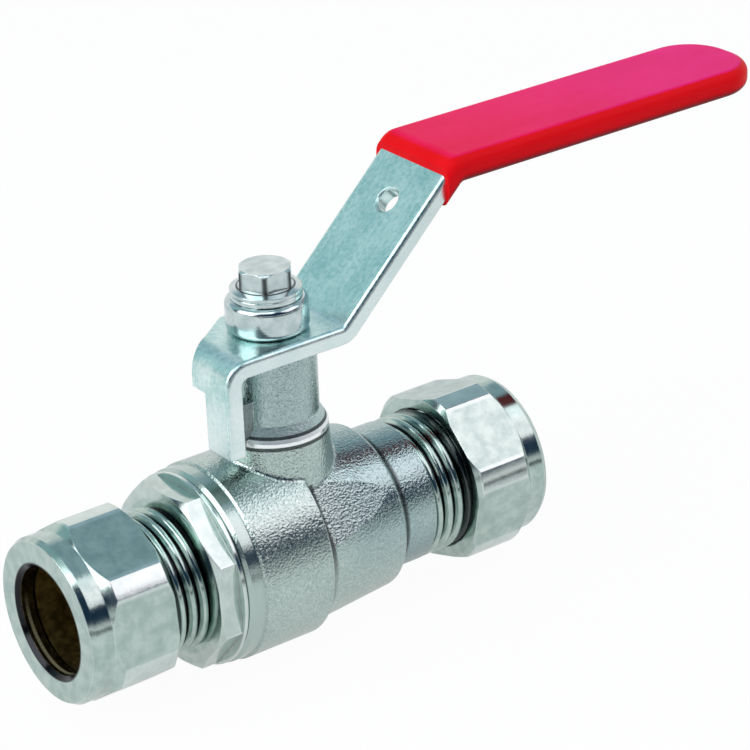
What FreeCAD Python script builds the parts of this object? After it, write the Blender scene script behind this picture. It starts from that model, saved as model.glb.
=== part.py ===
import FreeCAD, Part
import os
import re
import Sketcher

# Lever ball valve for 15 mm pipe with a compression nut at each end.
# X runs along the pipe from inlet to outlet, Z up along the stem, origin at the ball's centre. All in mm.

SIZES = {
    # pipe run
    "pipe_d": 15.0,
    "pipe_clearance": 0.1,
    "stop_width": 1.0,
    "socket_depth": 11.5,
    "mouth_depth": 1.3,
    "spigot_wall": 1.95,
    "thread_depth": 1.0,
    "thread_play": 0.05,
    # compression nuts, measured from the end that faces the body
    "nut_wall": 1.55,
    "nut_length": 13.2,
    "nut_corner_cut": 0.75,
    "nut_face_inset": 0.5,
    "nut_face_chamfer": 0.8,
    "nut_boss_inset": 0.05,
    "nut_boss_length": 3.3,
    "nut_cone_length": 1.2,
    "nut_back_chamfer": 0.7,
    "nut_back_inset": 0.8,
    "nut_relief_depth": 1.2,
    "nut_relief_play": 0.15,
    "nut_seat_depth": 9.0,
    "nut_hole_play": 0.15,
    "nut_mouth_chamfer": 0.55,
    "spigot_reach": 6.2,
    "inlet_nut_stand": 25.1,
    "outlet_nut_stand": 26.2,
    "inlet_nut_turn": -6.0,
    "outlet_nut_turn": 12.75,
    # olives
    "olive_wall": 1.15,
    "olive_nose": 0.3,
    "olive_gap": 0.14,
    "olive_clearance": 0.15,
    # ball, seats and chamber
    "ball_wall": 4.0,
    "ball_gap": 0.12,
    "seat_width": 2.3,
    "seat_heel": 1.2,
    "seat_lip": 0.8,
    "seat_stand": 0.15,
    "seat_play": 0.05,
    "chamber_room": 0.7,
    "gasket_width": 1.0,
    "gasket_thick": 0.8,
    "insert_play": 0.05,
    "insert_setback": 0.45,
    # body outside
    "body_wall": 2.3,
    "body_end": 14.7,
    "body_rim": 0.5,
    "band_width": 2.4,
    "band_depth": 0.3,
    "body_step": 0.8,
    "step_height": 1.1,
    "step_round": 0.3,
    "shoulder_fall": 1.1,
    "shoulder_end": 13.2,
    "shoulder_round": 0.6,
    "spigot_start": 14.7,
    "spigot_land": 1.05,
    "thread_start": 20.0,
    "panel_low": 77.5,
    "panel_tuck": 0.7,
    "panel_margin": 1.0,
    # end connector
    "ring_lip": 1.8,
    "ring_rim": 0.4,
    "ring_width": 0.9,
    "octagon_width": 3.1,
    "octagon_lip": 0.5,
    "octagon_bevel": 0.7,
    "octagon_turn": 19.3,
    # neck and stops
    "neck_bury": 5.5,
    "foot_spread": 0.55,
    "foot_round": 0.8,
    "collar_ledge": 1.15,
    "collar_lift": 3.4,
    "collar_slope": 2.1,
    "neck_wall": 1.55,
    "neck_rise": 11.4,
    "stop_play": 0.1,
    "stop_bury": 0.9,
    "open_stop_y": 3.6,
    "open_stop_thick": 1.6,
    "open_stop_drop": 5.5,
    "shut_stop_thick": 3.6,
    "shut_stop_reach": 11.4,
    "shut_stop_drop": 3.9,
    # stem and gland
    "stem_d": 8.0,
    "stem_play": 0.06,
    "flange_ledge": 1.4,
    "flange_play": 0.2,
    "flange_lift": 0.9,
    "flange_thick": 1.8,
    "washer_thick": 0.8,
    "washer_gap": 0.05,
    "tongue_thick": 3.4,
    "tongue_inset": 0.4,
    "tongue_play": 0.08,
    "slot_depth": 1.7,
    "tongue_gap": 0.2,
    "seal_lift": 0.1,
    "seal_thick": 1.8,
    "seal_depth": 0.9,
    "seal_gap": 0.05,
    "gland_depth": 7.3,
    "gland_width": 1.0,
    "gland_play": 0.03,
    "packing_thick": 3.2,
    "gland_drop": 0.3,
    "gland_slot": 1.4,
    "gland_slot_depth": 1.2,
    "flats_depth": 1.1,
    "flats_play": 0.05,
    "flats_short": 0.2,
    "stud_d": 4.0,
    "stud_drop": 0.2,
    "stud_bevel": 0.5,
    # lever plate
    "lever_lift": 0.5,
    "lever_thick": 2.4,
    "lever_width": 15.0,
    "lever_bend": 8.1,
    "lever_run": 19.5,
    "lever_rise": 18.9,
    "lever_end": 84.6,
    "lever_end_round": 6.6,
    "bend_round": 1.2,
    "edge_roll": 0.7,
    "tab_reach": 10.95,
    "tab_length": 11.5,
    "tab_edge": -2.1,
    "tab_shoulder": 3.1,
    "tab_far": 0.9,
    "taper_start": 2.5,
    "taper_end": 8.2,
    "taper_far": 3.1,
    "hang_hole_d": 3.5,
    "hang_hole_run": 13.7,
    "hang_hole_bevel": 0.3,
    # grip
    "grip_wall": 0.8,
    "grip_tuck": 2.1,
    "grip_round": 1.6,
    "grip_bend_round": 1.0,
    "grip_crown_round": 3.4,
    # lever fixing
    "spacer_d": 11.6,
    "spacer_thick": 4.7,
    "spacer_round": 0.9,
    "lock_washer_d": 10.0,
    "lock_washer_thick": 0.9,
    "lock_washer_split": 0.6,
    "lock_washer_bevel": 0.2,
    "lever_nut_flange_d": 10.0,
    "lever_nut_flange_thick": 0.9,
    "lever_nut_af": 7.0,
    "lever_nut_thick": 2.6,
    "lever_nut_turn": 54.0,
    "lever_nut_bevel": 0.8,
    "lever_nut_cap": 0.7,
    "stud_play": 0.05,
}

# Lengths that follow from the sizes above
DERIVED = {
    "socket_r": "pipe_d / 2 + pipe_clearance",
    "mouth_r": "socket_r + mouth_depth",
    "waterway_d": "pipe_d - 2 * stop_width",
    "inlet_end": "inlet_nut_stand + spigot_reach",
    "outlet_end": "outlet_nut_stand + spigot_reach",
    "inlet_stop": "inlet_end - socket_depth",
    "outlet_stop": "outlet_end - socket_depth",
    "core_r": "pipe_d / 2 + spigot_wall",
    "thread_r": "core_r + thread_depth",
    "spigot_r": "core_r + spigot_land",
    "nut_af": "2 * (thread_r + nut_wall)",
    "nut_reach": "nut_af / 2 / cos(30)",
    "nut_corner_r": "nut_reach - nut_corner_cut",
    "nut_boss_r": "nut_af / 2 - nut_boss_inset",
    "nut_bore_r": "core_r + thread_play",
    "nut_hole_r": "socket_r + nut_hole_play",
    "olive_hole_r": "pipe_d / 2 + olive_clearance",
    "olive_end_r": "olive_hole_r + olive_nose",
    "olive_r": "olive_hole_r + olive_wall",
    "ball_r": "waterway_d / 2 + ball_wall",
    "dish_r": "ball_r + ball_gap",
    "seat_r": "waterway_d / 2 + seat_width",
    "seat_pocket_r": "seat_r + seat_play",
    "seat_back": "sqrt(dish_r ^ 2 - waterway_d ^ 2 / 4) + seat_heel",
    "seat_front": "sqrt(dish_r ^ 2 - seat_r ^ 2) + seat_lip",
    "chamber_end": "seat_front - seat_stand",
    "chamber_r": "ball_r + chamber_room",
    "insert_r": "chamber_r + gasket_width",
    "insert_hole_r": "insert_r + insert_play",
    "insert_end": "seat_front + insert_setback",
    "gasket_end": "insert_end - gasket_thick",
    "body_r": "insert_r + body_wall",
    "band_r": "body_r - band_depth",
    "band_end": "body_end - band_width",
    "shoulder_r": "body_r - step_height",
    "shoulder_end_r": "shoulder_r - shoulder_fall",
    "ring_r": "insert_r + ring_lip",
    "octagon_af": "2 * (insert_r + octagon_lip)",
    "octagon_start": "body_end + ring_width",
    "octagon_end": "octagon_start + octagon_width",
    "gland_r": "stem_d / 2 + gland_width",
    "neck_r": "gland_r + neck_wall",
    "collar_r": "neck_r + collar_ledge",
    "foot_r": "collar_r + foot_spread",
    "neck_foot": "body_r - neck_bury",
    "collar_top": "body_r + collar_lift",
    "neck_top": "collar_top + neck_rise",
    "panel_high": "asin((foot_r - panel_tuck) / shoulder_r) / 1 deg",
    "panel_tilt": "(panel_low + panel_high) / 2",
    "panel_reach": "shoulder_r * cos((panel_low - panel_high) / 2)",
    "panel_half": "shoulder_r * sin((panel_low - panel_high) / 2) + panel_margin",
    "stop_foot": "collar_top - stop_bury",
    "open_stop_top": "neck_top - open_stop_drop",
    "shut_stop_top": "neck_top - shut_stop_drop",
    "stem_hole_r": "stem_d / 2 + stem_play",
    "flange_r": "stem_d / 2 + flange_ledge",
    "flange_bottom": "ball_r + flange_lift",
    "flange_top": "flange_bottom + flange_thick",
    "pocket_r": "flange_r + flange_play",
    "pocket_top": "flange_top + washer_gap + washer_thick",
    "slot_floor": "ball_r - slot_depth",
    "seal_r": "stem_d / 2 - seal_depth",
    "seal_height": "collar_top + seal_lift",
    "gland_floor": "neck_top - gland_depth",
    "packing_top": "gland_floor + packing_thick",
    "lever_seat": "neck_top + lever_lift",
    "half_thick": "lever_thick / 2",
    "half_width": "lever_width / 2",
    "lever_top": "lever_seat + lever_thick",
    "lever_mid": "lever_seat + half_thick",
    "grip_mid": "lever_mid + lever_rise",
    "incline": "atan(lever_rise / lever_run) / 1 deg",
    "bend_lean": "tan(incline / 2)",
    "tab_outer": "tab_reach + half_thick",
    "tab_inner": "tab_reach - half_thick",
    "tab_bottom": "lever_seat - tab_length",
    "tab_step": "lever_seat - tab_shoulder",
    "flats_half": "stem_d / 2 - flats_depth",
    "flats_top": "lever_top - flats_short",
    "spacer_top": "lever_top + spacer_thick",
    "washer_top": "spacer_top + lock_washer_thick",
    "nut_flange_top": "washer_top + lever_nut_flange_thick",
    "lever_nut_top": "nut_flange_top + lever_nut_thick",
    "lever_nut_floor": "lever_nut_top - lever_nut_cap",
    "stud_top": "lever_nut_floor - stud_drop",
    "sleeve_half": "half_thick + grip_wall",
    "grip_start": "lever_bend + lever_run - grip_tuck",
}

doc = FreeCAD.newDocument("isolating_valve")
sheet = doc.addObject("Spreadsheet::Sheet", "sizes")


def bound(expression):
    """The expression with every size name pointing at its cell."""

    def cell(match):
        word = match.group()
        return "sizes." + word if word in SIZES or word in DERIVED else word

    return re.sub(r"[A-Za-z_]\w*", cell, str(expression))


row = 0
for name, number in SIZES.items():
    row += 1
    sheet.set(f"A{row}", name)
    sheet.set(f"B{row}", str(number))
    sheet.setAlias(f"B{row}", name)
doc.recompute()
for name, formula in DERIVED.items():
    row += 1
    sheet.set(f"A{row}", name)
    sheet.set(f"B{row}", "=" + formula)
    sheet.setAlias(f"B{row}", name)
doc.recompute()


def value(expression):
    """The number an expression gives now."""
    result = sheet.evalExpression(bound(expression))
    return float(getattr(result, "Value", result))


def drive(item, path, expression):
    item.setExpression(path, bound(expression))


def new_body(label):
    body = doc.addObject("PartDesign::Body", label)
    body.Label = label
    return body


def sketch(body, name, role, loops, offset=None):
    """Closed straight-sided loops whose corners are all driven from the sheet."""
    drawing = body.newObject("Sketcher::SketchObject", name)
    plane = [item for item in body.Origin.OriginFeatures if item.Role == role][0]
    drawing.AttachmentSupport = [(plane, "")]
    drawing.MapMode = "FlatFace"
    if offset is not None:
        drive(drawing, "AttachmentOffset.Base.z", offset)
    first = 0
    for corners in loops:
        spots = [FreeCAD.Vector(value(across), value(up), 0) for across, up in corners]
        count = len(corners)
        for index in range(count):
            line = Part.LineSegment(spots[index], spots[(index + 1) % count])
            drawing.addGeometry(line, False)
        for index in range(count):
            following = first + (index + 1) % count
            drawing.addConstraint(Sketcher.Constraint("Coincident", first + index, 2, following, 1))
        for index, (across, up) in enumerate(corners):
            for kind, expression in (("DistanceX", across), ("DistanceY", up)):
                rule = Sketcher.Constraint(kind, -1, 1, first + index, 1, value(expression))
                number = drawing.addConstraint(rule)
                drive(drawing, f"Constraints[{number}]", expression)
        first += count
    return drawing


def turn(body, name, kind, axis, loops):
    """A Revolution or Groove about the pipe (H_Axis) or the stem (V_Axis)."""
    profile = sketch(body, name + "_profile", "XZ_Plane", loops)
    feature = body.newObject("PartDesign::" + kind, name)
    feature.Profile = profile
    feature.ReferenceAxis = (profile, [axis])
    feature.Angle = 360.0
    profile.Visibility = False
    return feature


def extrude(body, name, kind, role, loops, length, offset=None, symmetric=False, reverse=False):
    """A Pad or Pocket of straight-sided loops."""
    profile = sketch(body, name + "_profile", role, loops, offset)
    feature = body.newObject("PartDesign::" + kind, name)
    feature.Profile = profile
    if symmetric:
        feature.SideType = "Symmetric"
    feature.Reversed = reverse
    drive(feature, "Length", length)
    profile.Visibility = False
    return feature


def block(body, name, kind, low, high):
    """An AdditiveBox or SubtractiveBox between two corners."""
    box = body.newObject("PartDesign::" + kind, name)
    for side, start, stop in zip(("Length", "Width", "Height"), low, high):
        drive(box, side, f"({stop}) - ({start})")
    for axis, start in zip("xyz", low):
        drive(box, "Placement.Base." + axis, start)
    return box


def dress(body, name, kind, size_name, size, test):
    """A Fillet or Chamfer on the edges of the body's tip that pass the test."""
    doc.recompute()
    base = body.Tip
    names = [f"Edge{number + 1}" for number, edge in enumerate(base.Shape.Edges) if test(edge)]
    feature = body.newObject("PartDesign::" + kind, name)
    feature.Base = (base, names)
    drive(feature, size_name, size)
    return feature


def near(first, second, margin=0.02):
    return abs(first - second) < margin


def ring_edge(axis, place, radius):
    """Test for a full or part circle about an axis at one place along it."""
    number = "xyz".index(axis)

    def test(edge):
        if edge.Curve.TypeId != "Part::GeomCircle":
            return False
        centre = edge.Curve.Center
        if not near(edge.Curve.Radius, value(radius)):
            return False
        aside = [part for index, part in enumerate(centre) if index != number]
        return near(centre[number], value(place)) and near(aside[0], 0) and near(aside[1], 0)

    return test


def cross_edge(spots):
    """Test for straight edges across the width at places given as x and z."""
    places = [(value(along), value(up)) for along, up in spots]

    def test(edge):
        start = edge.Vertexes[0].Point
        stop = edge.Vertexes[-1].Point
        if not (near(start.x, stop.x) and near(start.z, stop.z)):
            return False
        return any(near(start.x, along) and near(start.z, up) for along, up in places)

    return test


def upright_edge(along):
    """Test for straight edges parallel to the stem at one x."""

    def test(edge):
        start = edge.Vertexes[0].Point
        stop = edge.Vertexes[-1].Point
        return (
            near(start.x, stop.x)
            and near(start.y, stop.y)
            and not near(start.z, stop.z)
            and near(start.x, value(along))
        )

    return test


def polygon(corner_count, flats, first_turn, sign):
    """Corners of a regular polygon seen along the pipe, turned from the top toward the front."""
    step = 360 / corner_count
    reach = f"({flats}) / 2 / cos({step / 2})"
    return [
        (
            f"{sign} * {reach} * sin({first_turn} + {step * index})",
            f"{reach} * cos({first_turn} + {step * index})",
        )
        for index in range(corner_count)
    ]


def turned(label, axis, corners):
    """A single ring or bush turned about the pipe or the stem."""
    body = new_body(label)
    turn(body, label + "_turned", "Revolution", axis, [corners])
    return body


def flip(body):
    """Half a turn about the stem, for the pieces of the inlet side."""
    body.Placement = FreeCAD.Placement(FreeCAD.Vector(), FreeCAD.Rotation(FreeCAD.Vector(0, 0, 1), 180))


# Body: chamber, shoulder and outlet spigot in one turned blank
valve_body = new_body("valve_body")
turn(valve_body, "run", "Revolution", "H_Axis", [[
    ("-body_end", "0"),
    ("-body_end", "band_r - body_rim"),
    ("-body_end + body_rim", "band_r"),
    ("-band_end", "band_r"),
    ("-band_end + band_depth", "body_r"),
    ("-body_step", "body_r"),
    ("-body_step", "shoulder_r"),
    ("shoulder_end", "shoulder_end_r"),
    ("spigot_start", "spigot_r"),
    ("thread_start", "spigot_r"),
    ("thread_start", "core_r"),
    ("outlet_end", "core_r"),
    ("outlet_end", "0"),
]])
dress(valve_body, "step_rounds", "Fillet", "Radius", "step_round",
      lambda edge: ring_edge("x", "-body_step", "body_r")(edge)
      or ring_edge("x", "-body_step", "shoulder_r")(edge))
dress(valve_body, "shoulder_rounds", "Fillet", "Radius", "shoulder_round",
      ring_edge("x", "shoulder_end", "shoulder_end_r"))
# Flat marking panel on each side of the shoulder
panel_loops = []
for side in (-1, 1):
    corners = []
    for along, reach in (("-1", "0"), ("1", "0"), ("1", "4"), ("-1", "4")):
        corners.append((
            f"{side} * ((panel_reach + {reach}) * sin(panel_tilt) + {along} * panel_half * cos(panel_tilt))",
            f"(panel_reach + {reach}) * cos(panel_tilt) - {along} * panel_half * sin(panel_tilt)",
        ))
    panel_loops.append(corners)
extrude(valve_body, "panels", "Pocket", "YZ_Plane", panel_loops,
        "shoulder_end + body_step", offset="-body_step", reverse=True)
# Neck with its drafted foot, blended into the body
turn(valve_body, "neck", "Revolution", "V_Axis", [[
    ("0", "neck_foot"),
    ("foot_r", "neck_foot"),
    ("collar_r", "collar_top"),
    ("neck_r", "collar_top + collar_slope"),
    ("neck_r", "neck_top"),
    ("0", "neck_top"),
]])


def foot_edge(edge):
    """Test for the line where the neck's foot meets the body."""
    for spot in edge.discretize(Number=5):
        run = (spot.z - value("neck_foot")) / value("collar_top - neck_foot")
        reach = value("foot_r") + run * value("collar_r - foot_r")
        if run < 0.05 or run > 0.95:
            return False
        if not near((spot.x ** 2 + spot.y ** 2) ** 0.5, reach, 0.05):
            return False
    return True


dress(valve_body, "foot_round", "Fillet", "Radius", "foot_round", foot_edge)
# Stop lugs: the tab rests on one when open and on the other when shut
block(valve_body, "open_stop", "AdditiveBox",
      ("-tab_inner + stop_play", "-open_stop_y", "stop_foot"),
      ("-stem_d / 2 - 1.5", "-open_stop_y + open_stop_thick", "open_stop_top"))
block(valve_body, "shut_stop", "AdditiveBox",
      ("tab_edge + stop_play", "stem_d / 2 + 1.5", "stop_foot"),
      ("tab_edge + stop_play + shut_stop_thick", "shut_stop_reach", "shut_stop_top"))
# Inside along the pipe
turn(valve_body, "pipe_way", "Groove", "H_Axis", [[
    ("-body_end - 1", "0"),
    ("-body_end - 1", "insert_hole_r"),
    ("-gasket_end", "insert_hole_r"),
    ("-gasket_end", "chamber_r"),
    ("chamber_end", "chamber_r"),
    ("chamber_end", "seat_pocket_r"),
    ("seat_back", "seat_pocket_r"),
    ("seat_back", "waterway_d / 2"),
    ("outlet_stop", "waterway_d / 2"),
    ("outlet_stop", "socket_r"),
    ("outlet_end - mouth_depth", "socket_r"),
    ("outlet_end", "mouth_r"),
    ("outlet_end + 1", "mouth_r"),
    ("outlet_end + 1", "0"),
]])
# Inside along the stem
turn(valve_body, "stem_way", "Groove", "V_Axis", [[
    ("0", "0"),
    ("pocket_r", "0"),
    ("pocket_r", "pocket_top"),
    ("stem_hole_r", "pocket_top"),
    ("stem_hole_r", "gland_floor"),
    ("gland_r", "gland_floor"),
    ("gland_r", "neck_top + 1"),
    ("0", "neck_top + 1"),
]])

# End connector: insert, ring, octagon and inlet spigot
end_connector = new_body("end_connector")
turn(end_connector, "connector_blank", "Revolution", "H_Axis", [[
    ("insert_end", "0"),
    ("insert_end", "insert_r"),
    ("body_end", "insert_r"),
    ("body_end", "ring_r - ring_rim"),
    ("body_end + ring_rim", "ring_r"),
    ("octagon_start", "ring_r"),
    ("octagon_start", "core_r"),
    ("inlet_end", "core_r"),
    ("inlet_end", "0"),
]])
extrude(end_connector, "octagon", "Pad", "YZ_Plane", [polygon(8, "octagon_af", "octagon_turn", 1)],
        "octagon_end - octagon_start", offset="octagon_start")
turn(end_connector, "octagon_bevels", "Groove", "H_Axis", [
    [
        ("octagon_end + 0.1", "octagon_af / 2 - 0.1"),
        ("octagon_end + 0.1", "octagon_af / 2 + 4"),
        ("octagon_end - octagon_bevel", "octagon_af / 2 + 4"),
        ("octagon_end - octagon_bevel", "octagon_af / 2 + 1.1"),
    ],
])
turn(end_connector, "connector_way", "Groove", "H_Axis", [[
    ("insert_end - 1", "0"),
    ("insert_end - 1", "seat_pocket_r"),
    ("seat_back", "seat_pocket_r"),
    ("seat_back", "waterway_d / 2"),
    ("inlet_stop", "waterway_d / 2"),
    ("inlet_stop", "socket_r"),
    ("inlet_end - mouth_depth", "socket_r"),
    ("inlet_end", "mouth_r"),
    ("inlet_end + 1", "mouth_r"),
    ("inlet_end + 1", "0"),
]])
flip(end_connector)

# Flat ring that seals the insert against the body
body_gasket = turned("body_gasket", "H_Axis", [
    ("gasket_end", "chamber_r"),
    ("gasket_end", "insert_r"),
    ("insert_end", "insert_r"),
    ("insert_end", "chamber_r"),
])
flip(body_gasket)


def cut(label, base, tool):
    piece = doc.addObject("Part::Cut", label)
    piece.Label = label
    piece.Base = base
    piece.Tool = tool
    return piece


def sphere(name, radius):
    piece = doc.addObject("Part::Sphere", name)
    drive(piece, "Radius", radius)
    return piece


# Ball with its bore along the pipe and its stem slot across
ball_bore = doc.addObject("Part::Cylinder", "ball_bore")
drive(ball_bore, "Radius", "waterway_d / 2")
drive(ball_bore, "Height", "2 * ball_r + 2")
ball_bore.Placement = FreeCAD.Placement(FreeCAD.Vector(), FreeCAD.Rotation(FreeCAD.Vector(0, 1, 0), 90))
drive(ball_bore, "Placement.Base.x", "-ball_r - 1")
ball_slot = doc.addObject("Part::Box", "ball_slot")
drive(ball_slot, "Length", "tongue_thick + 2 * tongue_play")
drive(ball_slot, "Width", "2 * ball_r + 2")
drive(ball_slot, "Height", "ball_r")
drive(ball_slot, "Placement.Base.x", "-tongue_thick / 2 - tongue_play")
drive(ball_slot, "Placement.Base.y", "-ball_r - 1")
drive(ball_slot, "Placement.Base.z", "slot_floor")
bored_ball = cut("bored_ball", sphere("ball_blank", "ball_r"), ball_bore)
ball = cut("ball", bored_ball, ball_slot)


def seat(label, inlet):
    ring = turned(label + "_ring", "H_Axis", [
        ("seat_front", "waterway_d / 2"),
        ("seat_front", "seat_r"),
        ("seat_back", "seat_r"),
        ("seat_back", "waterway_d / 2"),
    ])
    if inlet:
        flip(ring)
    return cut(label, ring, sphere(label + "_dish", "dish_r"))


inlet_seat = seat("inlet_seat", True)
outlet_seat = seat("outlet_seat", False)

# Stem: tongue, flange, shaft, flats and stud
stem = new_body("stem")
turn(stem, "stem_turned", "Revolution", "V_Axis", [[
    ("0", "flange_bottom"),
    ("flange_r", "flange_bottom"),
    ("flange_r", "flange_top"),
    ("stem_d / 2", "flange_top"),
    ("stem_d / 2", "flats_top"),
    ("stud_d / 2", "flats_top"),
    ("stud_d / 2", "stud_top - stud_bevel"),
    ("stud_d / 2 - stud_bevel", "stud_top"),
    ("0", "stud_top"),
]])
block(stem, "tongue", "AdditiveBox",
      ("-tongue_thick / 2", "-stem_d / 2 + tongue_inset", "slot_floor + tongue_gap"),
      ("tongue_thick / 2", "stem_d / 2 - tongue_inset", "flange_bottom"))
block(stem, "front_flat", "SubtractiveBox",
      ("-stem_d", "-stem_d", "lever_seat"), ("stem_d", "-flats_half", "flats_top"))
block(stem, "rear_flat", "SubtractiveBox",
      ("-stem_d", "flats_half", "lever_seat"), ("stem_d", "stem_d", "flats_top"))

turn(stem, "seal_groove", "Groove", "V_Axis", [[
    ("seal_r", "seal_height"),
    ("stem_d", "seal_height"),
    ("stem_d", "seal_height + seal_thick"),
    ("seal_r", "seal_height + seal_thick"),
]])

thrust_washer = turned("thrust_washer", "V_Axis", [
    ("stem_hole_r", "flange_top + washer_gap"),
    ("flange_r", "flange_top + washer_gap"),
    ("flange_r", "pocket_top"),
    ("stem_hole_r", "pocket_top"),
])

# Square-cut rubber ring in the stem's groove
stem_seal = turned("stem_seal", "V_Axis", [
    ("seal_r", "seal_height + seal_gap"),
    ("stem_d / 2", "seal_height + seal_gap"),
    ("stem_d / 2", "seal_height + seal_thick - seal_gap"),
    ("seal_r", "seal_height + seal_thick - seal_gap"),
])

gland_packing = turned("gland_packing", "V_Axis", [
    ("stem_hole_r", "gland_floor"),
    ("gland_r - gland_play", "gland_floor"),
    ("gland_r - gland_play", "packing_top"),
    ("stem_hole_r", "packing_top"),
])

gland_nut = turned("gland_nut", "V_Axis", [
    ("stem_hole_r", "packing_top"),
    ("gland_r - gland_play", "packing_top"),
    ("gland_r - gland_play", "neck_top - gland_drop"),
    ("stem_hole_r", "neck_top - gland_drop"),
])
block(gland_nut, "spanner_slot", "SubtractiveBox",
      ("-gland_slot / 2", "-2 * gland_r", "neck_top - gland_drop - gland_slot_depth"),
      ("gland_slot / 2", "2 * gland_r", "neck_top"))

# Lever: tab, plate, incline and grip length as one bent strip
lever_strip = new_body("lever_strip")
extrude(lever_strip, "strip", "Pad", "XZ_Plane", [[
    ("-tab_outer", "tab_bottom"),
    ("-tab_outer", "lever_top"),
    ("lever_bend - half_thick * bend_lean", "lever_top"),
    ("lever_bend + lever_run - half_thick * bend_lean", "grip_mid + half_thick"),
    ("lever_end", "grip_mid + half_thick"),
    ("lever_end", "grip_mid - half_thick"),
    ("lever_bend + lever_run + half_thick * bend_lean", "grip_mid - half_thick"),
    ("lever_bend + half_thick * bend_lean", "lever_seat"),
    ("-tab_inner", "lever_seat"),
    ("-tab_inner", "tab_bottom"),
]], "lever_width", symmetric=True)
dress(lever_strip, "inner_bends", "Fillet", "Radius", "bend_round", cross_edge([
    ("lever_bend - half_thick * bend_lean", "lever_top"),
    ("lever_bend + lever_run + half_thick * bend_lean", "grip_mid - half_thick"),
    ("-tab_inner", "lever_seat"),
]))
dress(lever_strip, "outer_bends", "Fillet", "Radius", "bend_round + lever_thick", cross_edge([
    ("-tab_outer", "lever_top"),
    ("lever_bend + lever_run - half_thick * bend_lean", "grip_mid + half_thick"),
    ("lever_bend + half_thick * bend_lean", "lever_seat"),
]))
dress(lever_strip, "end_rounds", "Fillet", "Radius", "lever_end_round", upright_edge("lever_end"))


def upper_edge(edge):
    """Test for the strip's two long edges on the side that faces up and out."""
    for spot in edge.discretize(Number=5):
        if not near(abs(spot.y), value("half_width")):
            return False
        climb = min(max(spot.x - value("lever_bend"), 0), value("lever_run"))
        middle = value("lever_mid") + climb * value("lever_rise") / value("lever_run")
        if spot.x > -value("tab_reach") and spot.z < middle:
            return False
    return True


dress(lever_strip, "rolled_edges", "Fillet", "Radius", "edge_roll", upper_edge)
extrude(lever_strip, "far_taper", "Pocket", "XY_Plane", [[
    ("-taper_start", "half_width + 1"),
    ("-taper_start", "half_width"),
    ("-taper_end", "taper_far"),
    ("-tab_outer", "tab_far"),
    ("-tab_outer - 1", "tab_far"),
    ("-tab_outer - 1", "half_width + 1"),
]], "4 * lever_seat", symmetric=True)
block(lever_strip, "tab_notch", "SubtractiveBox",
      ("-tab_outer - 1", "tab_edge", "tab_bottom - 1"), ("-tab_inner + 1", "half_width + 1", "tab_step"))
hang_hole = lever_strip.newObject("PartDesign::SubtractiveCylinder", "hang_hole")
drive(hang_hole, "Radius", "hang_hole_d / 2")
drive(hang_hole, "Height", "4 * lever_thick")
hang_hole.Placement = FreeCAD.Placement(
    FreeCAD.Vector(), FreeCAD.Rotation(FreeCAD.Vector(0, -1, 0), value("incline")))
drive(hang_hole, "Placement.Rotation.Angle", "incline")
drive(hang_hole, "Placement.Base.x", "lever_bend + hang_hole_run + 2 * lever_thick * sin(incline)")
drive(hang_hole, "Placement.Base.z",
      "lever_mid + hang_hole_run * lever_rise / lever_run - 2 * lever_thick * cos(incline)")
dress(lever_strip, "hang_hole_rims", "Chamfer", "Size", "hang_hole_bevel",
      lambda edge: edge.Curve.TypeId == "Part::GeomCircle"
      and near(edge.Curve.Radius, value("hang_hole_d / 2")))
# Round hole with two flats for the stem
hole_round = doc.addObject("Part::Cylinder", "hole_round")
drive(hole_round, "Radius", "stem_d / 2 + flats_play")
drive(hole_round, "Height", "3 * lever_thick")
drive(hole_round, "Placement.Base.z", "lever_seat - lever_thick")
hole_flats = doc.addObject("Part::Box", "hole_flats")
drive(hole_flats, "Length", "2 * stem_d")
drive(hole_flats, "Width", "2 * (flats_half + flats_play)")
drive(hole_flats, "Height", "3 * lever_thick")
drive(hole_flats, "Placement.Base.x", "-stem_d")
drive(hole_flats, "Placement.Base.y", "-flats_half - flats_play")
drive(hole_flats, "Placement.Base.z", "lever_seat - lever_thick")
stem_hole = doc.addObject("Part::Common", "stem_hole")
stem_hole.Base = hole_round
stem_hole.Tool = hole_flats
lever = cut("lever", lever_strip, stem_hole)

# Dipped sleeve over the lever's upper bend and grip length
grip_block = new_body("grip_block")
extrude(grip_block, "sleeve", "Pad", "XZ_Plane", [[
    ("grip_start",
     "lever_mid + (grip_start - lever_bend) * lever_rise / lever_run + sleeve_half / cos(incline)"),
    ("lever_bend + lever_run - sleeve_half * bend_lean", "grip_mid + sleeve_half"),
    ("lever_end + grip_wall", "grip_mid + sleeve_half"),
    ("lever_end + grip_wall", "grip_mid - sleeve_half"),
    ("lever_bend + lever_run + sleeve_half * bend_lean", "grip_mid - sleeve_half"),
    ("grip_start",
     "lever_mid + (grip_start - lever_bend) * lever_rise / lever_run - sleeve_half / cos(incline)"),
]], "lever_width + 2 * grip_wall", symmetric=True)
dress(grip_block, "sleeve_end", "Fillet", "Radius", "lever_end_round + grip_wall",
      upright_edge("lever_end + grip_wall"))
dress(grip_block, "sleeve_under", "Fillet", "Radius", "grip_bend_round", cross_edge([
    ("lever_bend + lever_run + sleeve_half * bend_lean", "grip_mid - sleeve_half"),
]))


def sleeve_rim(edge):
    """Edges along the sleeve's sides and round its end."""
    start = edge.Vertexes[0].Point
    stop = edge.Vertexes[-1].Point
    beyond = value("grip_start") + 0.01
    if start.x < beyond and stop.x < beyond:
        return False
    if edge.Curve.TypeId == "Part::GeomLine":
        return near(start.y, stop.y) and not near(start.x, stop.x)
    return True


def sleeve_crown(edge):
    return cross_edge([("lever_bend + lever_run - sleeve_half * bend_lean", "grip_mid + sleeve_half")])(edge)


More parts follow.
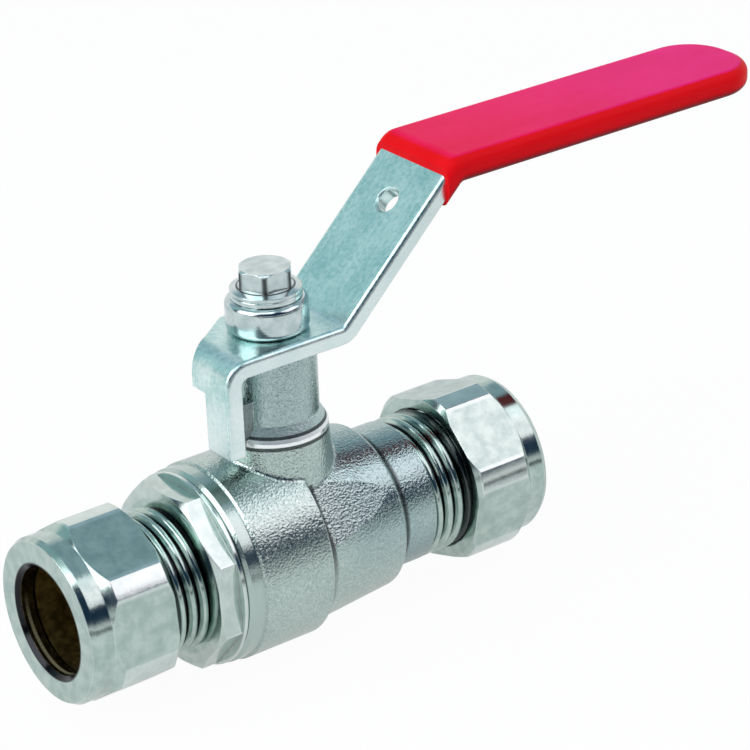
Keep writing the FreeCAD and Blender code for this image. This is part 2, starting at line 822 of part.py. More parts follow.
dress(grip_block, "sleeve_over", "Fillet", "Radius", "grip_crown_round", sleeve_crown)
dress(grip_block, "sleeve_rounds", "Fillet", "Radius", "grip_round", sleeve_rim)
lever_grip = cut("lever_grip", grip_block, lever_strip)

# Spacer collar, split washer and flanged nut on the stud
nut_collar = turned("nut_collar", "V_Axis", [
    ("stud_d / 2 + stud_play", "lever_top"),
    ("spacer_d / 2", "lever_top"),
    ("spacer_d / 2", "spacer_top"),
    ("stud_d / 2 + stud_play", "spacer_top"),
])
dress(nut_collar, "spacer_rounds", "Fillet", "Radius", "spacer_round",
      lambda edge: ring_edge("z", "spacer_top", "spacer_d / 2")(edge)
      or ring_edge("z", "lever_top", "spacer_d / 2")(edge))

lock_washer = turned("lock_washer", "V_Axis", [
    ("stud_d / 2 + stud_play", "spacer_top"),
    ("lock_washer_d / 2 - lock_washer_bevel", "spacer_top"),
    ("lock_washer_d / 2", "spacer_top + lock_washer_bevel"),
    ("lock_washer_d / 2", "washer_top - lock_washer_bevel"),
    ("lock_washer_d / 2 - lock_washer_bevel", "washer_top"),
    ("stud_d / 2 + stud_play", "washer_top"),
])
block(lock_washer, "washer_split", "SubtractiveBox",
      ("0", "-lock_washer_split / 2", "spacer_top - 1"),
      ("lock_washer_d", "lock_washer_split / 2", "washer_top + 1"))

lever_nut = new_body("lever_nut")
extrude(lever_nut, "hexagon", "Pad", "XY_Plane", [[
    (f"lever_nut_af / 2 / cos(30) * cos(lever_nut_turn + {60 * index})",
     f"lever_nut_af / 2 / cos(30) * sin(lever_nut_turn + {60 * index})")
    for index in range(6)
]], "lever_nut_flange_thick + lever_nut_thick", offset="washer_top")
turn(lever_nut, "hexagon_bevel", "Groove", "V_Axis", [[
    ("lever_nut_af / 2 - 0.1", "lever_nut_top + 0.1"),
    ("lever_nut_af / 2 + 2", "lever_nut_top + 0.1"),
    ("lever_nut_af / 2 + 2", "lever_nut_top - 2 * lever_nut_bevel"),
]])
turn(lever_nut, "nut_flange", "Revolution", "V_Axis", [[
    ("0", "washer_top"),
    ("lever_nut_flange_d / 2", "washer_top"),
    ("lever_nut_flange_d / 2", "washer_top + lever_nut_flange_thick / 2"),
    ("lever_nut_af / 2", "nut_flange_top"),
    ("0", "nut_flange_top"),
]])
turn(lever_nut, "stud_hole", "Groove", "V_Axis", [[
    ("0", "washer_top - 1"),
    ("stud_d / 2 + stud_play", "washer_top - 1"),
    ("stud_d / 2 + stud_play", "lever_nut_floor"),
    ("0", "lever_nut_floor"),
]])


def compression_nut(label, stand, first_turn, inlet):
    """Hexagon nut built outward from the end that faces the body."""
    body = new_body(label)
    extrude(body, label + "_hexagon", "Pad", "YZ_Plane",
            [polygon(6, "nut_af", first_turn, 1 if inlet else -1)], "nut_length")
    turn(body, label + "_turning", "Groove", "H_Axis", [[
        ("nut_length", "nut_af / 2 - nut_face_inset"),
        ("nut_length - nut_face_chamfer", "nut_boss_r"),
        ("nut_length - nut_boss_length", "nut_boss_r"),
        ("nut_length - nut_boss_length - nut_cone_length", "nut_corner_r"),
        ("nut_back_chamfer", "nut_corner_r"),
        ("0", "nut_corner_r - nut_back_inset"),
        ("-1", "nut_corner_r - nut_back_inset"),
        ("-1", "nut_reach + 1"),
        ("nut_length + 1", "nut_reach + 1"),
        ("nut_length + 1", "nut_af / 2 - nut_face_inset"),
    ]])
    turn(body, label + "_bore", "Groove", "H_Axis", [[
        ("-1", "0"),
        ("-1", "thread_r + nut_relief_play"),
        ("nut_relief_depth", "thread_r + nut_relief_play"),
        ("nut_relief_depth", "nut_bore_r"),
        ("nut_seat_depth", "nut_bore_r"),
        ("nut_seat_depth + nut_bore_r - nut_hole_r", "nut_hole_r"),
        ("nut_length - nut_mouth_chamfer", "nut_hole_r"),
        ("nut_length", "nut_hole_r + nut_mouth_chamfer"),
        ("nut_length + 1", "nut_hole_r + nut_mouth_chamfer"),
        ("nut_length + 1", "0"),
    ]])
    if inlet:
        flip(body)
    drive(body, "Placement.Base.x", f"-{stand}" if inlet else stand)
    return body


inlet_nut = compression_nut("inlet_nut", "inlet_nut_stand", "inlet_nut_turn", True)
outlet_nut = compression_nut("outlet_nut", "outlet_nut_stand", "outlet_nut_turn", False)


def olive(label, stand, inlet):
    """Double-coned ring between the spigot's mouth and the nut's cone."""
    mouth = "spigot_reach - mouth_depth - socket_r + olive_gap"
    cone = "nut_seat_depth + nut_bore_r - olive_gap"
    body = turned(label, "H_Axis", [
        (f"{mouth} + olive_end_r", "olive_hole_r"),
        (f"{mouth} + olive_end_r", "olive_end_r"),
        (f"{mouth} + olive_r", "olive_r"),
        (f"{cone} - olive_r", "olive_r"),
        (f"{cone} - olive_end_r", "olive_end_r"),
        (f"{cone} - olive_end_r", "olive_hole_r"),
    ])
    if inlet:
        flip(body)
    drive(body, "Placement.Base.x", f"-{stand}" if inlet else stand)
    return body


inlet_olive = olive("inlet_olive", "inlet_nut_stand", True)
outlet_olive = olive("outlet_olive", "outlet_nut_stand", False)

doc.recompute()

pieces = [
    valve_body, end_connector, body_gasket, ball, inlet_seat, outlet_seat,
    stem, stem_seal, thrust_washer, gland_packing, gland_nut,
    lever, lever_grip, nut_collar, lock_washer, lever_nut,
    inlet_nut, outlet_nut, inlet_olive, outlet_olive,
]
for item in doc.Objects:
    if "Invalid" in item.State or "Error" in item.State:
        raise RuntimeError(f"{item.Name} did not build")
for piece in pieces:
    if piece.Shape.isNull() or not piece.Shape.isValid():
        raise RuntimeError(f"{piece.Label} has no sound shape")
    if len(piece.Shape.Solids) != 1:
        raise RuntimeError(f"{piece.Label} is {len(piece.Shape.Solids)} solids")

os.makedirs("parts", exist_ok=True)
for piece in pieces:
    piece.Shape.exportStep(f"parts/{piece.Label}.step")
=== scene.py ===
import math

import bpy
from mathutils import Matrix, Vector


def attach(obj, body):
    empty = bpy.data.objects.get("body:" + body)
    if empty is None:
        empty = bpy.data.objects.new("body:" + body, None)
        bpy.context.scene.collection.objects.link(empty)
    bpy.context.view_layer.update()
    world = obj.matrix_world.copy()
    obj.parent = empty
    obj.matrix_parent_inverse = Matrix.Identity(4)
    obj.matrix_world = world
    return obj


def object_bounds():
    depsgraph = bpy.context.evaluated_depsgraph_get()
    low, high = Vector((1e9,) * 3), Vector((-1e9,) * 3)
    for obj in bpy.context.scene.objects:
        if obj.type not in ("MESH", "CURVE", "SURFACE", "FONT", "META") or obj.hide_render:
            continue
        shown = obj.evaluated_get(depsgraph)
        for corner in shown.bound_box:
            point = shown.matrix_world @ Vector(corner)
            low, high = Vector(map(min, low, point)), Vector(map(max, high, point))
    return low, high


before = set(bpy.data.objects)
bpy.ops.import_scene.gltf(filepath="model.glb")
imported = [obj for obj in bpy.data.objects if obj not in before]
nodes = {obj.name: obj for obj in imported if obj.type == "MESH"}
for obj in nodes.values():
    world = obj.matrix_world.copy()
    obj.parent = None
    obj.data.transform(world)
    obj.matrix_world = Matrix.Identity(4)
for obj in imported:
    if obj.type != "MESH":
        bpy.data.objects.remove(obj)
cad_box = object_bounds()
MM = 0.001


# Shader maths

class Field:
    """A value that changes over a surface. Arithmetic on fields adds Math nodes."""

    def __init__(self, finish, socket):
        self.finish = finish
        self.socket = socket

    def _math(self, operation, first, second=0.0):
        return self.finish.node("Math", {"operation": operation}, {0: first, 1: second})

    def __add__(self, other):
        return self._math("ADD", self, other)

    def __radd__(self, other):
        return self._math("ADD", other, self)

    def __sub__(self, other):
        return self._math("SUBTRACT", self, other)

    def __rsub__(self, other):
        return self._math("SUBTRACT", other, self)

    def __mul__(self, other):
        return self._math("MULTIPLY", self, other)

    def __rmul__(self, other):
        return self._math("MULTIPLY", other, self)

    def root(self):
        return self._math("SQRT", self)

    def most(self, *others):
        """The highest of this field and the others."""
        highest = self
        for other in others:
            highest = self._math("MAXIMUM", highest, other)
        return highest

    def step(self, low, high):
        """0 below low, 1 above high, and a soft ramp between."""
        settings = {"interpolation_type": "SMOOTHSTEP"}
        sockets = {"Value": self, "From Min": low, "From Max": high}
        return self.finish.node("MapRange", settings, sockets)

    def past(self, limit, blur):
        """0 below the limit and 1 above it, soft by the blur to each side."""
        return self.step(limit - blur, limit + blur)

    def within(self, low, high, blur):
        """1 from low to high, soft by the blur at both ends."""
        return self.past(low, blur) * (1 - self.past(high, blur))

    def span(self, rise, fall):
        """Up from 0 to 1 over the rise and back to 0 over the fall, each a low and a high end."""
        return self.step(*rise) * (1 - self.step(*fall))


class Finish:
    """The nodes of one material, or of the world."""

    def __init__(self, name, kind="materials"):
        self.block = getattr(bpy.data, kind).new(name)
        self.block.use_nodes = True
        self.tree = self.block.node_tree
        self.tree.nodes.clear()

    def node(self, kind, settings, sockets, output=0):
        """Adds a node: its settings, then the values or links of its sockets. Gives one output."""
        made = self.tree.nodes.new("ShaderNode" + kind)
        for key, setting in settings.items():
            setattr(made, key, setting)
        for key, given in sockets.items():
            named = [socket for socket in made.inputs if socket.identifier == key]
            socket = named[0] if named else made.inputs[key]
            if isinstance(given, Field):
                self.tree.links.new(given.socket, socket)
            else:
                socket.default_value = given
        return Field(self, made.outputs[output]) if made.outputs else None

    def place(self):
        """The point on the piece, in millimetres of the part's own frame."""
        spot = self.node("TexCoord", {}, {}, "Object")
        return self.node("VectorMath", {"operation": "SCALE"}, {0: spot, "Scale": 1 / MM})

    def split(self, vector):
        """The x, y and z of a vector."""
        return [self.node("SeparateXYZ", {}, {0: vector}, axis) for axis in "XYZ"]

    def stretch(self, spot, factors):
        return self.node("VectorMath", {"operation": "MULTIPLY"}, {0: spot, 1: factors})

    def noise(self, spot, per_mm, detail=2.0, roughness=0.5):
        sockets = {"Vector": spot, "Scale": per_mm, "Detail": detail, "Roughness": roughness}
        return self.node("TexNoise", {}, sockets)

    def mix(self, factor, first, second):
        settings = {"data_type": "RGBA"}
        sockets = {"Factor_Float": factor, "A_Color": first, "B_Color": second}
        return self.node("Mix", settings, sockets, 2)

    def edge(self, radius_mm):
        """The normal with edges eased by a small radius, and how near a point is to an edge."""
        eased = self.node("Bevel", {"samples": 4}, {"Radius": radius_mm * MM})
        plain = self.node("NewGeometry", {}, {}, "Normal")
        agree = self.node("VectorMath", {"operation": "DOT_PRODUCT"}, {0: eased, 1: plain}, "Value")
        return eased, (1 - agree).step(0.01, 0.20)

    def crease(self, reach_mm):
        """0 in the open, rising towards 1 in a sharp inside corner."""
        settings = {"samples": 4, "only_local": True}
        return 1 - self.node("AmbientOcclusion", settings, {"Distance": reach_mm * MM}, "AO")

    def bump(self, height, depth_mm, normal=None):
        sockets = {"Distance": depth_mm * MM, "Height": height}
        if normal:
            sockets["Normal"] = normal
        return self.node("Bump", {}, sockets)

    def surface(self, **sockets):
        """The shader and the material's output. Socket names have _ for a space."""
        named = {key.replace("_", " "): given for key, given in sockets.items()}
        shader = self.node("BsdfPrincipled", {}, named)
        self.node("OutputMaterial", {}, {"Surface": shader})
        return self.block


def rgb(red, green, blue):
    return (red, green, blue, 1.0)


# Tones of the finishes: pairs run from a surface's darker patches to its lighter ones

BLASTED = rgb(0.34, 0.43, 0.405), rgb(0.54, 0.64, 0.595)
# Painted shade: darker, bluer plate for the parts that the lever shades
SHADED_PLATE = rgb(0.240, 0.338, 0.348), rgb(0.39, 0.512, 0.515)
# Painted light: a lighter plate for the neck's draft
NECK_DRAFT = rgb(0.38, 0.52, 0.50), rgb(0.66, 0.76, 0.75)
NICKEL = rgb(0.36, 0.46, 0.43), rgb(0.50, 0.60, 0.555)
BRASS = rgb(0.26, 0.205, 0.09), rgb(0.55, 0.45, 0.20)
# Dark brown in the nuts' bores: oxide, and painted shade inside the hole
BORE_OXIDE_AND_SHADE = rgb(0.05, 0.038, 0.018), rgb(0.20, 0.155, 0.065)
ZINC = rgb(0.42, 0.65, 0.635), rgb(0.73, 0.88, 0.86)
FIXING = rgb(0.46, 0.55, 0.55), rgb(0.62, 0.70, 0.695)
CHROME = rgb(0.74, 0.77, 0.80), rgb(0.84, 0.86, 0.88)
RED_DEEP = rgb(0.80, 0.004, 0.008), rgb(0.88, 0.006, 0.012)
# Painted reflection on the sleeve's top, pinker towards its far end
RED_REFLECTING = rgb(0.86, 0.004, 0.075), rgb(0.91, 0.008, 0.100)
RED_PINK = rgb(0.86, 0.007, 0.170), rgb(0.91, 0.012, 0.210)
PTFE = rgb(0.80, 0.80, 0.77), rgb(0.90, 0.90, 0.88)
RUBBER = rgb(0.015, 0.015, 0.015), rgb(0.03, 0.03, 0.03)
# Painted shade under the sleeve
RED_UNDERSIDE_SHADE = rgb(0.12, 0.006, 0.010)
# Painted shade under the spigot
SPIGOT_UNDERSIDE_SHADE = rgb(0.16, 0.215, 0.225)
# Painted highlight low inside the mouths
BRASS_HIGHLIGHT = rgb(0.98, 0.90, 0.54)
# Near black for painted shade and dark lines; pale for painted highlights, worn edges and paler
# patches
NEAR_BLACK = rgb(0.022, 0.023, 0.026)
PALE = rgb(0.90, 0.94, 0.93)
WHITE = rgb(1.0, 1.0, 1.0)

# The share of a noise that is spread out into clear patches
PATCHES = (0.3, 0.7)

# Places on the part, in millimetres from the ball's centre: x along the pipe, z up the stem
INLET_THREAD = (-31.3, -18.7)
OUTLET_THREAD = (20.0, 32.4)
BAND_END = -12.4
LUG_FOOT = 16.95
RIM_FOOT, RIM_TOP = 17.35, 18.35
COLLAR_TOP, DRAFT_TOP = 17.9, 20.0


# Finishes. Numbers in their masks are millimetres along an axis or out from one

def pressed_nickel():
    """Shot-blasted plate on the hot-pressed body, turned on its band and under its thread."""
    finish = Finish("pressed_nickel")
    spot = finish.place()
    x, y, z = finish.split(spot)
    pipe_reach = (y * y + z * z).root()
    stem_reach = (x * x + y * y).root()
    spigot = x.past(OUTLET_THREAD[0], 0.1)
    turned = spigot.most(1 - x.past(BAND_END, 0.1))
    grain = finish.noise(spot, 3.2, detail=1.0)
    cloud = finish.noise(spot, 0.14)
    tone = (grain - 0.5) * (1.9 - turned * 1.7) + (cloud - 0.5) * 0.4 + 0.5

    # Painted shade: a darker, bluer plate on the shoulder, the spigot and the neck, where the lever
    # shades them
    shoulder = (x.step(-2.5, 9.0) * z.step(-7.0, 3.0)).most(x.step(13.0, 14.0))
    shoulder = shoulder * (1 - z.step(12.9, 14.4))
    neck = (1 - stem_reach.past(8.4, 0.1)) * z.step(COLLAR_TOP, 19.0)
    underside = x.step(13.5, 15.0) * (0 - z).step(0.5, 6.0)
    shaded = finish.mix(tone, *SHADED_PLATE)
    plate = finish.mix((shoulder * 0.75).most(neck * 0.6), finish.mix(tone, *BLASTED), shaded)

    # Painted light: a lighter plate on the neck's draft, and a painted highlight on the rim below
    # it, between two dark lines
    by_neck = 1 - stem_reach.past(8.0, 0.05)
    draft = by_neck * z.within(COLLAR_TOP, DRAFT_TOP, 0.05)
    rim = by_neck * z.within(RIM_FOOT, RIM_TOP, 0.05)
    # Dark lines painted above and below the rim
    over_rim = by_neck * z.span((18.35, 18.42), (18.75, 18.85))
    under_rim = by_neck * z.within(16.8, 17.3, 0.05)
    plate = finish.mix(draft, plate, finish.mix(tone, *NECK_DRAFT))
    # Painted shade on the spigot's underside
    plate = finish.mix(underside * 0.40, plate, SPIGOT_UNDERSIDE_SHADE)
    plate = finish.mix(rim, plate, PALE)

    # Painted shade, near black, in inside corners, at the foot of each step, on the stop lug behind
    # the tab and in the roots under the thread; the dark lines by the rim go in with it
    corner = finish.crease(0.9).step(0.12, 0.5) * (1 - by_neck * z.past(RIM_FOOT, 0.05))
    spigot_foot = x.span((12.9, 13.6), (14.8, 15.5)) * (1 - pipe_reach.step(10.7, 11.6) * 0.65)
    step_foot = x.span((-0.95, -0.8), (0.25, 0.75)) * (1 - pipe_reach.past(13.6, 0.1))
    step_foot = step_foot * (1 - z.step(12.5, 13.2)) * (0.35 + z.step(-3.0, 4.0) * 0.65)
    off_neck = stem_reach - 7.75 + z.step(COLLAR_TOP, DRAFT_TOP) * 1.1
    lug = (0 - x).step(5.0, 5.3) * off_neck.step(0.0, 0.08) * z.past(LUG_FOOT, 0.05)
    root = spigot * (1 - pipe_reach.past(9.65, 0.15))
    lines = corner.most(spigot_foot, step_foot, over_rim, under_rim)
    skin = finish.mix(root.most(lug * 0.55, lines * 0.85), plate, NEAR_BLACK)

    inside = (1 - pipe_reach.past(9.0, 0.1)) * (1 - z.step(9.0, 9.5))
    return finish.surface(
        Base_Color=finish.mix(inside, skin, BRASS[1]),
        Metallic=1.0,
        Roughness=0.20 + draft * 0.28,
        Normal=finish.bump(grain * (1 - turned.most(rim) * 0.8), 0.075),
    )


def turned_nickel(name, bore_mm, root_mm, highlight_mm, bore_tones):
    """Bright plate on turned brass: bare in the bore, with painted shade in the roots of a thread
    and painted highlights on its edges and corners.
    """
    finish = Finish(name)
    spot = finish.place()
    x, y, z = finish.split(spot)
    inlet_x = 0 - x
    reach = (y * y + z * z).root()
    smudge = finish.noise(spot, 0.45, detail=4.0, roughness=0.6)
    tool_marks = finish.noise(finish.stretch(spot, (1.0, 0.08, 0.08)), 5.0)

    # Paler edges, partly wear and partly painted highlight, and painted highlights on the corner
    # strips and the octagon
    eased, edge = finish.edge(0.18)
    paler = reach.past(highlight_mm, 0.1)
    octagon = inlet_x.span((15.5, 15.6), (18.8, 19.0)) * reach.step(11.0, 11.5)
    plate = finish.mix(smudge.step(*PATCHES), *NICKEL)
    plate = finish.mix((edge * 0.7).most(paler * 0.35, octagon * 0.2), plate, PALE)

    # Painted shade in thread roots and inside corners, and on the thread in the shadow beside each
    # nut
    root = 1 - reach.past(root_mm, 0.15)
    corner = finish.crease(0.6).step(0.25, 0.7)
    by_inlet_nut = inlet_x.span((23.9, 24.5), (25.5, 25.9))
    by_outlet_nut = x.span((25.0, 25.6), (26.6, 27.0))
    nut_line = by_inlet_nut.most(by_outlet_nut) * (1 - reach.past(10.55, 0.05))
    skin = finish.mix(root.most(corner * 0.7, nut_line * 0.9), plate, NEAR_BLACK)

    # Bore, with a painted highlight low down inside each mouth, not metallic there so that the
    # lamps light it
    bare = 1 - reach.past(bore_mm, 0.05)
    mouth_highlight = inlet_x.within(36.725, 37.225, 0.075).most(x.within(37.825, 38.325, 0.075))
    mouth_highlight = mouth_highlight * (0 - z).step(-2.0, 3.5) * bare
    bore = finish.mix(finish.noise(spot, 0.8, detail=3.0).step(0.35, 0.65), *bore_tones)
    bore = finish.mix(mouth_highlight, bore, BRASS_HIGHLIGHT)
    return finish.surface(
        Base_Color=finish.mix(bare, skin, bore),
        Metallic=1 - mouth_highlight,
        Roughness=0.10 + smudge * 0.10 + bare * 0.35,
        Normal=finish.bump(tool_marks * 0.4 + smudge, 0.014, eased),
    )


def bare_brass():
    """Turned brass without plate, smudged brown."""
    finish = Finish("bare_brass")
    spot = finish.place()
    smudge = finish.noise(spot, 0.8, detail=3.0)
    lines = finish.noise(finish.stretch(spot, (1.0, 0.1, 0.1)), 6.0)
    return finish.surface(
        Base_Color=finish.mix(smudge.step(*PATCHES), *BRASS),
        Metallic=1.0,
        Roughness=0.25 + smudge * 0.15,
        Normal=finish.bump(lines, 0.01),
    )


def zinc_steel():
    """Rolled and zinc-plated lever with faint streaks along it; edges paler with wear and painted
    highlight, sides paler with painted light, and the tab paler towards its foot.
    """
    finish = Finish("zinc_steel")
    spot = finish.place()
    y, z = finish.split(spot)[1:]
    streaks = finish.noise(finish.stretch(spot, (0.06, 1.0, 0.06)), 3.0, detail=3.0)
    cloud = finish.noise(spot, 0.16, detail=3.0)
    skin = finish.noise(spot, 1.6, detail=3.0)
    tone = (cloud * 0.45 + streaks * 0.2 + skin * 0.35).step(0.36, 0.64)
    eased, edge = finish.edge(0.18)
    side = (y * y).step(54.0, 56.0)
    tab = (29.0 - z).step(0.0, 9.0)
    # Painted light on sides and edges, edges partly wear; the tab paler towards its foot
    paler = (edge * 0.6).most(side * 0.6, tab * 0.5)
    return finish.surface(
        Base_Color=finish.mix(paler, finish.mix(tone, *ZINC), PALE),
        Metallic=1.0,
        Roughness=0.22 + skin * 0.14,
        Normal=finish.bump(skin * 0.7 + streaks * 0.3, 0.025, eased),
    )


def bright_steel():
    """Zinc-plated fixing, with painted shade on the corners of its hexagon and in its joints, and
    paler edges from wear and painted highlight.
    """
    finish = Finish("bright_steel")
    spot = finish.place()
    x, y, z = finish.split(spot)
    reach = (x * x + y * y).root()
    smudge = finish.noise(spot, 0.6, detail=3.0)
    lines = finish.noise(finish.stretch(spot, (0.1, 0.1, 1.0)), 5.0)
    # Painted shade on the hexagon's corners and in inside corners
    hex_corners = reach.span((3.72, 3.98), (4.06, 4.16)) * z.step(35.0, 35.5)
    corner = finish.crease(0.6).step(0.2, 0.6)
    eased, edge = finish.edge(0.15)
    plate = finish.mix(smudge.step(*PATCHES), *FIXING)
    # Paler edges: partly wear, partly painted highlight
    plate = finish.mix(edge * 0.6, plate, PALE)
    return finish.surface(
        Base_Color=finish.mix((hex_corners * 0.9).most(corner * 0.7), plate, NEAR_BLACK),
        Metallic=1.0,
        Roughness=0.10 + smudge * 0.10 + hex_corners * 0.2,
        Normal=finish.bump(lines, 0.006, eased),
    )


def stem_nickel():
    """Plated stem with fine turning lines round it."""
    finish = Finish("stem_nickel")
    spot = finish.place()
    smudge = finish.noise(spot, 0.6)
    lines = finish.noise(finish.stretch(spot, (0.1, 0.1, 1.0)), 6.0)
    return finish.surface(
        Base_Color=finish.mix(smudge, *NICKEL),
        Metallic=1.0,
        Roughness=0.14 + smudge * 0.1,
        Normal=finish.bump(lines, 0.008),
    )


def polished_chrome():
    """The ball's mirror plate, a little hazed."""
    finish = Finish("polished_chrome")
    haze = finish.noise(finish.place(), 0.4)
    return finish.surface(
        Base_Color=finish.mix(haze.step(*PATCHES), *CHROME),
        Metallic=1.0,
        Roughness=0.04 + haze * 0.05,
    )


def red_sleeve():
    """Dipped vinyl: soft-edged, a little uneven, with a painted pink reflection on top and painted
    shade underneath.
    """
    finish = Finish("red_sleeve")
    spot = finish.place()
    x = finish.split(spot)[0]
    up = finish.split(finish.node("TexCoord", {}, {}, "Normal"))[2]
    flow = finish.noise(finish.stretch(spot, (0.35, 1.0, 1.0)), 0.16)
    peel = finish.noise(spot, 0.9)
    deep, reflecting, pink = [
        finish.mix(flow.step(*PATCHES), *tones) for tones in (RED_DEEP, RED_REFLECTING, RED_PINK)]
    # Painted reflection: faces turned upwards are pinker
    top = finish.mix(x.step(26.0, 80.0), reflecting, pink)
    red = finish.mix(up.step(0.88, 0.995), deep, top)
    # Painted shade on faces turned downwards
    underside_shade = (0.1 - up).step(0.0, 0.8)
    return finish.surface(
        Base_Color=finish.mix(underside_shade * 0.9, red, RED_UNDERSIDE_SHADE),
        Roughness=0.34 + peel * 0.10,
        Specular_IOR_Level=0.04,
        Normal=finish.bump(flow + peel * 0.08, 0.05),
    )


def white_ptfe():
    """Seats, washer and packing: waxy white."""
    finish = Finish("white_ptfe")
    cloud = finish.noise(finish.place(), 0.7)
    return finish.surface(
        Base_Color=finish.mix(cloud, *PTFE),
        Roughness=0.45 + cloud * 0.1,
    )


def black_rubber():
    """The stem's sealing ring."""
    finish = Finish("black_rubber")
    skin = finish.noise(finish.place(), 2.0)
    return finish.surface(
        Base_Color=finish.mix(skin, *RUBBER),
        Roughness=0.55 + skin * 0.1,
    )


brass = bare_brass()
steel = bright_steel()
ptfe = white_ptfe()
nut_plate = turned_nickel(
    "nut_plate", bore_mm=7.75, root_mm=8.5, highlight_mm=12.9, bore_tones=BORE_OXIDE_AND_SHADE)
connector_plate = turned_nickel(
    "connector_plate", bore_mm=9.0, root_mm=9.75, highlight_mm=13.6, bore_tones=BRASS)
FINISHES = {
    "valve_body": pressed_nickel(),
    "end_connector": connector_plate,
    "body_gasket": ptfe,
    "ball": polished_chrome(),
    "inlet_seat": ptfe,
    "outlet_seat": ptfe,
    "stem": stem_nickel(),
    "stem_seal": black_rubber(),
    "thrust_washer": ptfe,
    "gland_packing": ptfe,
    "gland_nut": brass,
    "lever": zinc_steel(),
    "lever_grip": red_sleeve(),
    "nut_collar": steel,
    "lock_washer": steel,
    "lever_nut": steel,
    "inlet_nut": nut_plate,
    "outlet_nut": nut_plate,
    "inlet_olive": brass,
    "outlet_olive": brass,
}
for name, material in FINISHES.items():
    slots = nodes[name].data.materials
    slots.clear()
    slots.append(material)


# Threads on the two spigots, in millimetres

PITCH = 1.814
CORE = 9.45
RIDGE = 1.0
SUNK = 0.05
END_GAP = 0.03
RUN_IN, RUN_OUT = 0.5 * PITCH, 0.35 * PITCH
STEPS_A_TURN = 80
# Half of one ridge from root to crest: distance along the pipe and share of the height
FLANK = [(0.907, -0.05), (0.80, 0.0), (0.70, 0.14), (0.43, 0.78), (0.31, 0.94), (0.15, 0.99)]


def spigot_thread(name, start, stop):
    """A right-hand ridge wound from start to stop along the pipe, fading out at both ends."""
    section = [(-along, share) for along, share in FLANK] + [(0.0, 1.0)]
    section += reversed(FLANK)
    width = len(section)
    count = int((stop - start) / PITCH * STEPS_A_TURN) + 1
    points = []
    for index in range(count + 1):
        turn = index / STEPS_A_TURN
        angle = 2 * math.pi * turn
        centre = start + PITCH * turn
        fade = max(0.0, min(1.0, (centre - start) / RUN_IN, (stop - centre) / RUN_OUT))
        for along, share in section:
            place = min(max(centre + along, start + END_GAP), stop - END_GAP)
            radius = CORE - SUNK + (RIDGE + SUNK) * share * fade
            point = (place, radius * math.cos(angle), radius * math.sin(angle))
            points.append([length * MM for length in point])
    faces = []
    for index in range(count):
        for side in range(width - 1):
            first = index * width + side
            faces.append((first, first + 1, first + width + 1, first + width))
    mesh = bpy.data.meshes.new(name)
    mesh.from_pydata(points, [], faces)
    mesh.shade_smooth()
    mesh.materials.append(connector_plate)
    thread = bpy.data.objects.new(name, mesh)
    bpy.context.collection.objects.link(thread)
    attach(thread, "body")


spigot_thread("inlet_thread", *INLET_THREAD)
spigot_thread("outlet_thread", *OUTLET_THREAD)


# Stage: floor, world, lamps and camera, in metres

FLOOR_HALF = 3.0
FLOOR_GAP = 0.0001
FLOOR_PAINT = rgb(0.86, 0.86, 0.86)
FLOOR_FAR = rgb(0.02, 0.03, 0.04)
# How white the floor is to the eye, and how bright in the metal round the part
FLOOR_TO_EYE = 0.96
FLOOR_IN_METAL = 0.62
# Where the floor in front turns dark in the metal, in millimetres from the part
FLOOR_FADE = (122.0, 235.0)


def floor_white():
    """A pale floor, white to the eye. Metal sees it lit round the part and dark far in front."""
    finish = Finish("floor_white")
    y = finish.split(finish.place())[1]
    far = (0 - y).step(*FLOOR_FADE)
    seen, glossy, through = [
        finish.node("LightPath", {}, {}, ray)
        for ray in ("Is Camera Ray", "Is Glossy Ray", "Is Transmission Ray")]
    mirrored = glossy.most(through)
    pale = finish.mix(mirrored * far, FLOOR_PAINT, FLOOR_FAR)
    matt = finish.node("BsdfDiffuse", {}, {"Color": pale})
    white = finish.node("Emission", {}, {"Color": WHITE, "Strength": 1.0})
    factor = (seen * FLOOR_TO_EYE).most(mirrored * (1 - far) * FLOOR_IN_METAL)
    shader = finish.node("MixShader", {}, {0: factor, 1: matt, 2: white})
    finish.node("OutputMaterial", {}, {"Surface": shader})
    return finish.block


level = cad_box[0][2] - FLOOR_GAP
corners = [(-1, -1), (1, -1), (1, 1), (-1, 1)]
floor_mesh = bpy.data.meshes.new("floor")
floor_mesh.from_pydata(
    [(x * FLOOR_HALF, y * FLOOR_HALF, level) for x, y in corners], [], [(0, 1, 2, 3)])
floor_mesh.materials.append(floor_white())
floor = bpy.data.objects.new("floor", floor_mesh)
bpy.context.collection.objects.link(floor)

CEILING = rgb(0.36, 0.50, 0.575)
CEILING_LEFT = rgb(0.41, 0.645, 0.675)
DARK_FRONT = rgb(0.012, 0.040, 0.085)
# The level direction that the camera looks in, and how high the white wall there rises
AWAY_X, AWAY_Y = 0.588, 0.809
WALL_RISE = 0.52

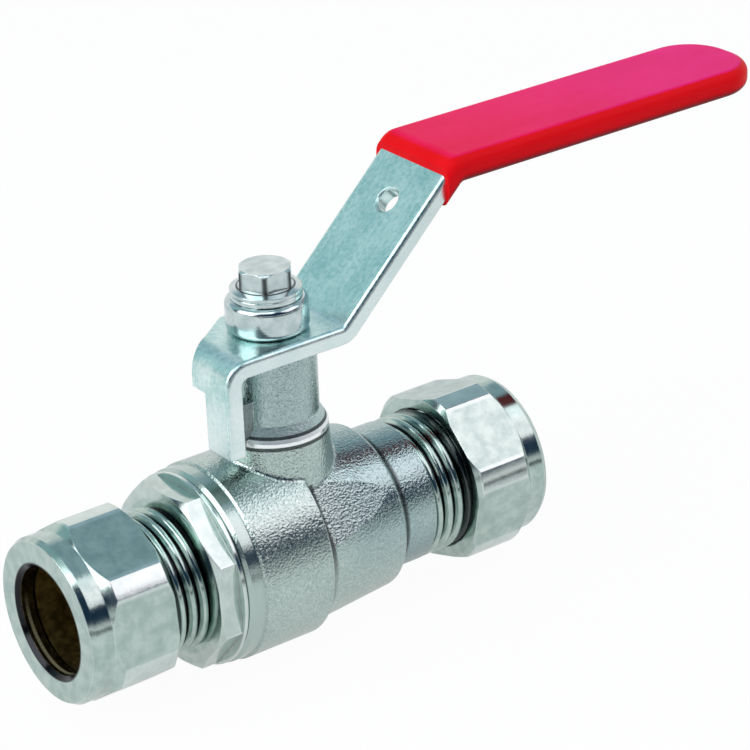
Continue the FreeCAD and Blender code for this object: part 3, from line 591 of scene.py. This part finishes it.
sky = Finish("studio", "worlds")
bpy.context.scene.world = sky.block
across, deep, rise = sky.split(sky.node("TexCoord", {}, {}, "Generated"))
away = across * AWAY_X + deep * AWAY_Y
back_wall = 1 - (rise - away.most(0.0) * WALL_RISE).step(0.02, 0.18)
left_wall = (0 - across).step(0.0, 0.45)
front = (1 - away).step(0.70, 1.0) * (1 - rise.step(0.74, 0.90))
walls = sky.mix(left_wall, CEILING, CEILING_LEFT)
walls = sky.mix(front, walls, DARK_FRONT)
walls = sky.mix(back_wall, walls, WHITE)
to_eye = sky.node("LightPath", {}, {}, "Is Camera Ray")
backdrop = sky.mix(to_eye, walls, WHITE)
shade = sky.node("Background", {}, {"Color": backdrop, "Strength": 1.0})
sky.node("OutputWorld", {}, {"Surface": shade})


def softbox(name, place, target, size, white, tint=(1.0, 1.0, 1.0)):
    """A flat lamp of the given sides, as bright as white paper times white."""
    lamp = bpy.data.lights.new(name, "AREA")
    lamp.shape = "RECTANGLE"
    lamp.size, lamp.size_y = size
    lamp.energy = white * math.pi * size[0] * size[1]
    lamp.color = tint
    holder = bpy.data.objects.new(name, lamp)
    holder.location = place
    aim = Vector(target) - Vector(place)
    holder.rotation_euler = aim.to_track_quat("-Z", "Y").to_euler()
    bpy.context.collection.objects.link(holder)


softbox("key_box", place=(0.424, -0.378, 0.563), target=(0, 0, 0.01),
        size=(0.62, 0.46), white=1.66, tint=(1.0, 0.90, 0.93))
softbox("side_box", place=(-0.66, 0.08, 0.50), target=(-0.05, 0.05, 0.0),
        size=(0.7, 0.7), white=3.0)
softbox("top_box", place=(-0.20, -0.28, 0.75), target=(0, 0, 0.01),
        size=(0.4, 0.4), white=1.8)

# Camera fitted to the photograph: its axes, its focal length in pixels, and where it stands
RIGHT = Vector((0.7987, -0.6007, -0.0361))
UP = Vector((0.2847, 0.3244, 0.9021))
AHEAD = Vector((0.5301, 0.7308, -0.4301))
STAND = (RIGHT * 13.454 + UP * 22.387 - AHEAD * 420.81) * MM
FOCAL_PIXELS = 2979.13
PHOTO_PIXELS = 750
SENSOR_MM = 36.0
lens = bpy.data.cameras.new("photo_view")
lens.sensor_width = SENSOR_MM
lens.lens = SENSOR_MM * FOCAL_PIXELS / PHOTO_PIXELS
lens.clip_start = 0.01
camera = bpy.data.objects.new("photo_view", lens)
rows = [(RIGHT[axis], UP[axis], -AHEAD[axis], STAND[axis]) for axis in range(3)]
camera.matrix_world = Matrix(rows + [(0, 0, 0, 1)])
bpy.context.collection.objects.link(camera)
bpy.context.scene.camera = camera
bpy.context.scene.view_settings.view_transform = "Standard"
